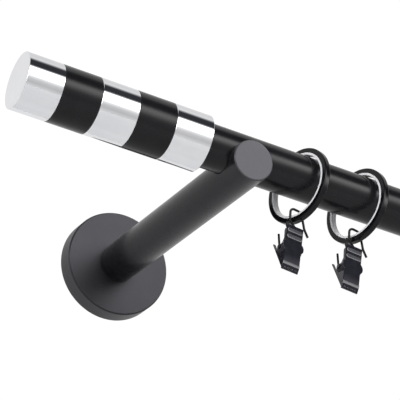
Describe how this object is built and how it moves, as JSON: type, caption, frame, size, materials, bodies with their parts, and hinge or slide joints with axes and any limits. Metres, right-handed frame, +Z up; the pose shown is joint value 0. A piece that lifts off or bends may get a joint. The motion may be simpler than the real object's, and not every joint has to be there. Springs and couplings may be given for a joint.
{
  "type": "curtain rod",
  "caption": "Round curtain rod on two wall brackets, with striped cylinder finials, lined rings and spring clips.",
  "frame": {"origin": "centre of the left bracket's back face, on the wall", "axes": "+X along the rod to the right, +Y into the wall, +Z up"},
  "size_m": [1.348, 0.2115, 0.0939],
  "materials": {
    "zinc_steel": "zinc-plated",
    "bracket_black": "fine matt powder coat",
    "black_screw": "blackened steel",
    "core_black": "moulded",
    "chrome": "polished",
    "band_black": "satin",
    "rod_black": "satin enamel",
    "ring_black": "gloss",
    "liner_grey": "smooth low-friction plastic",
    "clip_wire": "black-plated wire",
    "clip_black": "black-plated spring steel sheet"
  },
  "bodies": {
    "wall_brackets": {"left_wall_plate": "zinc_steel", "left_rosette": "bracket_black", "left_rosette_set_screw": "black_screw", "left_arm": "bracket_black", "left_arm_bolt": "zinc_steel", "right_wall_plate": "zinc_steel", "right_rosette": "bracket_black", "right_rosette_set_screw": "black_screw", "right_arm": "bracket_black", "right_arm_bolt": "zinc_steel"},
    "rod_with_finials": {"rod_tube": "rod_black", "left_finial_core": "core_black", "left_finial_chrome_band_inner": "chrome", "left_finial_black_band_inner": "band_black", "left_finial_chrome_band_middle": "chrome", "left_finial_black_band_outer": "band_black", "left_finial_chrome_end_cap": "chrome", "left_finial_set_screw": "black_screw", "right_finial_core": "core_black", "right_finial_chrome_band_inner": "chrome", "right_finial_black_band_inner": "band_black", "right_finial_chrome_band_middle": "chrome", "right_finial_black_band_outer": "band_black", "right_finial_chrome_end_cap": "chrome", "right_finial_set_screw": "black_screw"},
    "ring_1": {"ring_1_shell": "ring_black", "ring_1_liner": "liner_grey"},
    "clip_1_hook": {"clip_1_hook_wire": "clip_wire"},
    "clip_1_body": {"clip_1_front_jaw": "clip_black", "clip_1_hinge_pin": "clip_wire", "clip_1_torsion_spring": "clip_wire"},
    "clip_1_lever": {"clip_1_rear_jaw": "clip_black"},
    "ring_2": {"ring_2_shell": "ring_black", "ring_2_liner": "liner_grey"},
    "clip_2_hook": {"clip_2_hook_wire": "clip_wire"},
    "clip_2_body": {"clip_2_front_jaw": "clip_black", "clip_2_hinge_pin": "clip_wire", "clip_2_torsion_spring": "clip_wire"},
    "clip_2_lever": {"clip_2_rear_jaw": "clip_black"},
    "ring_3": {"ring_3_shell": "ring_black", "ring_3_liner": "liner_grey"},
    "clip_3_hook": {"clip_3_hook_wire": "clip_wire"},
    "clip_3_body": {"clip_3_front_jaw": "clip_black", "clip_3_hinge_pin": "clip_wire", "clip_3_torsion_spring": "clip_wire"},
    "clip_3_lever": {"clip_3_rear_jaw": "clip_black"},
    "ring_4": {"ring_4_shell": "ring_black", "ring_4_liner": "liner_grey"},
    "clip_4_hook": {"clip_4_hook_wire": "clip_wire"},
    "clip_4_body": {"clip_4_front_jaw": "clip_black", "clip_4_hinge_pin": "clip_wire", "clip_4_torsion_spring": "clip_wire"},
    "clip_4_lever": {"clip_4_rear_jaw": "clip_black"}
  },
  "joints": [
    {"name": "rod_lifts_out", "type": "slide", "parent": "wall_brackets", "child": "rod_with_finials", "axis": [0, 0, 1], "range_m": [0, 0.03]},
    {"name": "ring_1_slides", "type": "slide", "parent": "rod_with_finials", "child": "ring_1", "axis": [1, 0, 0], "range_m": [-0.018, 0.01]},
    {"name": "clip_1_hook_swings", "type": "hinge", "parent": "ring_1", "child": "clip_1_hook", "pos_m": [0.0408, -0.1874, -0.0152], "axis": [0, 1, 0], "range_deg": [-5, 5]},
    {"name": "clip_1_swings", "type": "hinge", "parent": "clip_1_hook", "child": "clip_1_body", "pos_m": [0.0386, -0.1874, -0.02638], "axis": [0.9962, 0, -0.0872], "range_deg": [-5, 25]},
    {"name": "clip_1_jaw_opens", "type": "hinge", "parent": "clip_1_body", "child": "clip_1_lever", "pos_m": [0.03936, -0.18678, -0.04098], "axis": [0.9962, -0.0151, -0.0858], "range_deg": [0, 24], "stiffness_Nm_per_rad": 0.02, "springref_deg": -40.11, "deforming": ["clip_1_torsion_spring"]},
    {"name": "ring_2_slides", "type": "slide", "parent": "rod_with_finials", "child": "ring_2", "axis": [1, 0, 0], "range_m": [-0.01, 0.43]},
    {"name": "clip_2_hook_swings", "type": "hinge", "parent": "ring_2", "child": "clip_2_hook", "pos_m": [0.0823, -0.1874, -0.0152], "axis": [0, 1, 0], "range_deg": [-5, 5]},
    {"name": "clip_2_swings", "type": "hinge", "parent": "clip_2_hook", "child": "clip_2_body", "pos_m": [0.0801, -0.1874, -0.02638], "axis": [0.9962, 0, -0.0872], "range_deg": [-5, 25]},
    {"name": "clip_2_jaw_opens", "type": "hinge", "parent": "clip_2_body", "child": "clip_2_lever", "pos_m": [0.08086, -0.18678, -0.04098], "axis": [0.9962, -0.0151, -0.0858], "range_deg": [0, 24], "stiffness_Nm_per_rad": 0.02, "springref_deg": -40.11, "deforming": ["clip_2_torsion_spring"]},
    {"name": "ring_3_slides", "type": "slide", "parent": "rod_with_finials", "child": "ring_3", "axis": [1, 0, 0], "range_m": [-0.43, 0.01]},
    {"name": "clip_3_hook_swings", "type": "hinge", "parent": "ring_3", "child": "clip_3_hook", "pos_m": [0.9677, -0.1874, -0.0152], "axis": [0, 1, 0], "range_deg": [-5, 5]},
    {"name": "clip_3_swings", "type": "hinge", "parent": "clip_3_hook", "child": "clip_3_body", "pos_m": [0.9655, -0.1874, -0.02638], "axis": [0.9962, 0, -0.0872], "range_deg": [-5, 25]},
    {"name": "clip_3_jaw_opens", "type": "hinge", "parent": "clip_3_body", "child": "clip_3_lever", "pos_m": [0.96626, -0.18678, -0.04098], "axis": [0.9962, -0.0151, -0.0858], "range_deg": [0, 24], "stiffness_Nm_per_rad": 0.02, "springref_deg": -40.11, "deforming": ["clip_3_torsion_spring"]},
    {"name": "ring_4_slides", "type": "slide", "parent": "rod_with_finials", "child": "ring_4", "axis": [1, 0, 0], "range_m": [-0.01, 0.018]},
    {"name": "clip_4_hook_swings", "type": "hinge", "parent": "ring_4", "child": "clip_4_hook", "pos_m": [1.0092, -0.1874, -0.0152], "axis": [0, 1, 0], "range_deg": [-5, 5]},
    {"name": "clip_4_swings", "type": "hinge", "parent": "clip_4_hook", "child": "clip_4_body", "pos_m": [1.007, -0.1874, -0.02638], "axis": [0.9962, 0, -0.0872], "range_deg": [-5, 25]},
    {"name": "clip_4_jaw_opens", "type": "hinge", "parent": "clip_4_body", "child": "clip_4_lever", "pos_m": [1.00776, -0.18678, -0.04098], "axis": [0.9962, -0.0151, -0.0858], "range_deg": [0, 24], "stiffness_Nm_per_rad": 0.02, "springref_deg": -40.11, "deforming": ["clip_4_torsion_spring"]}
  ]
}
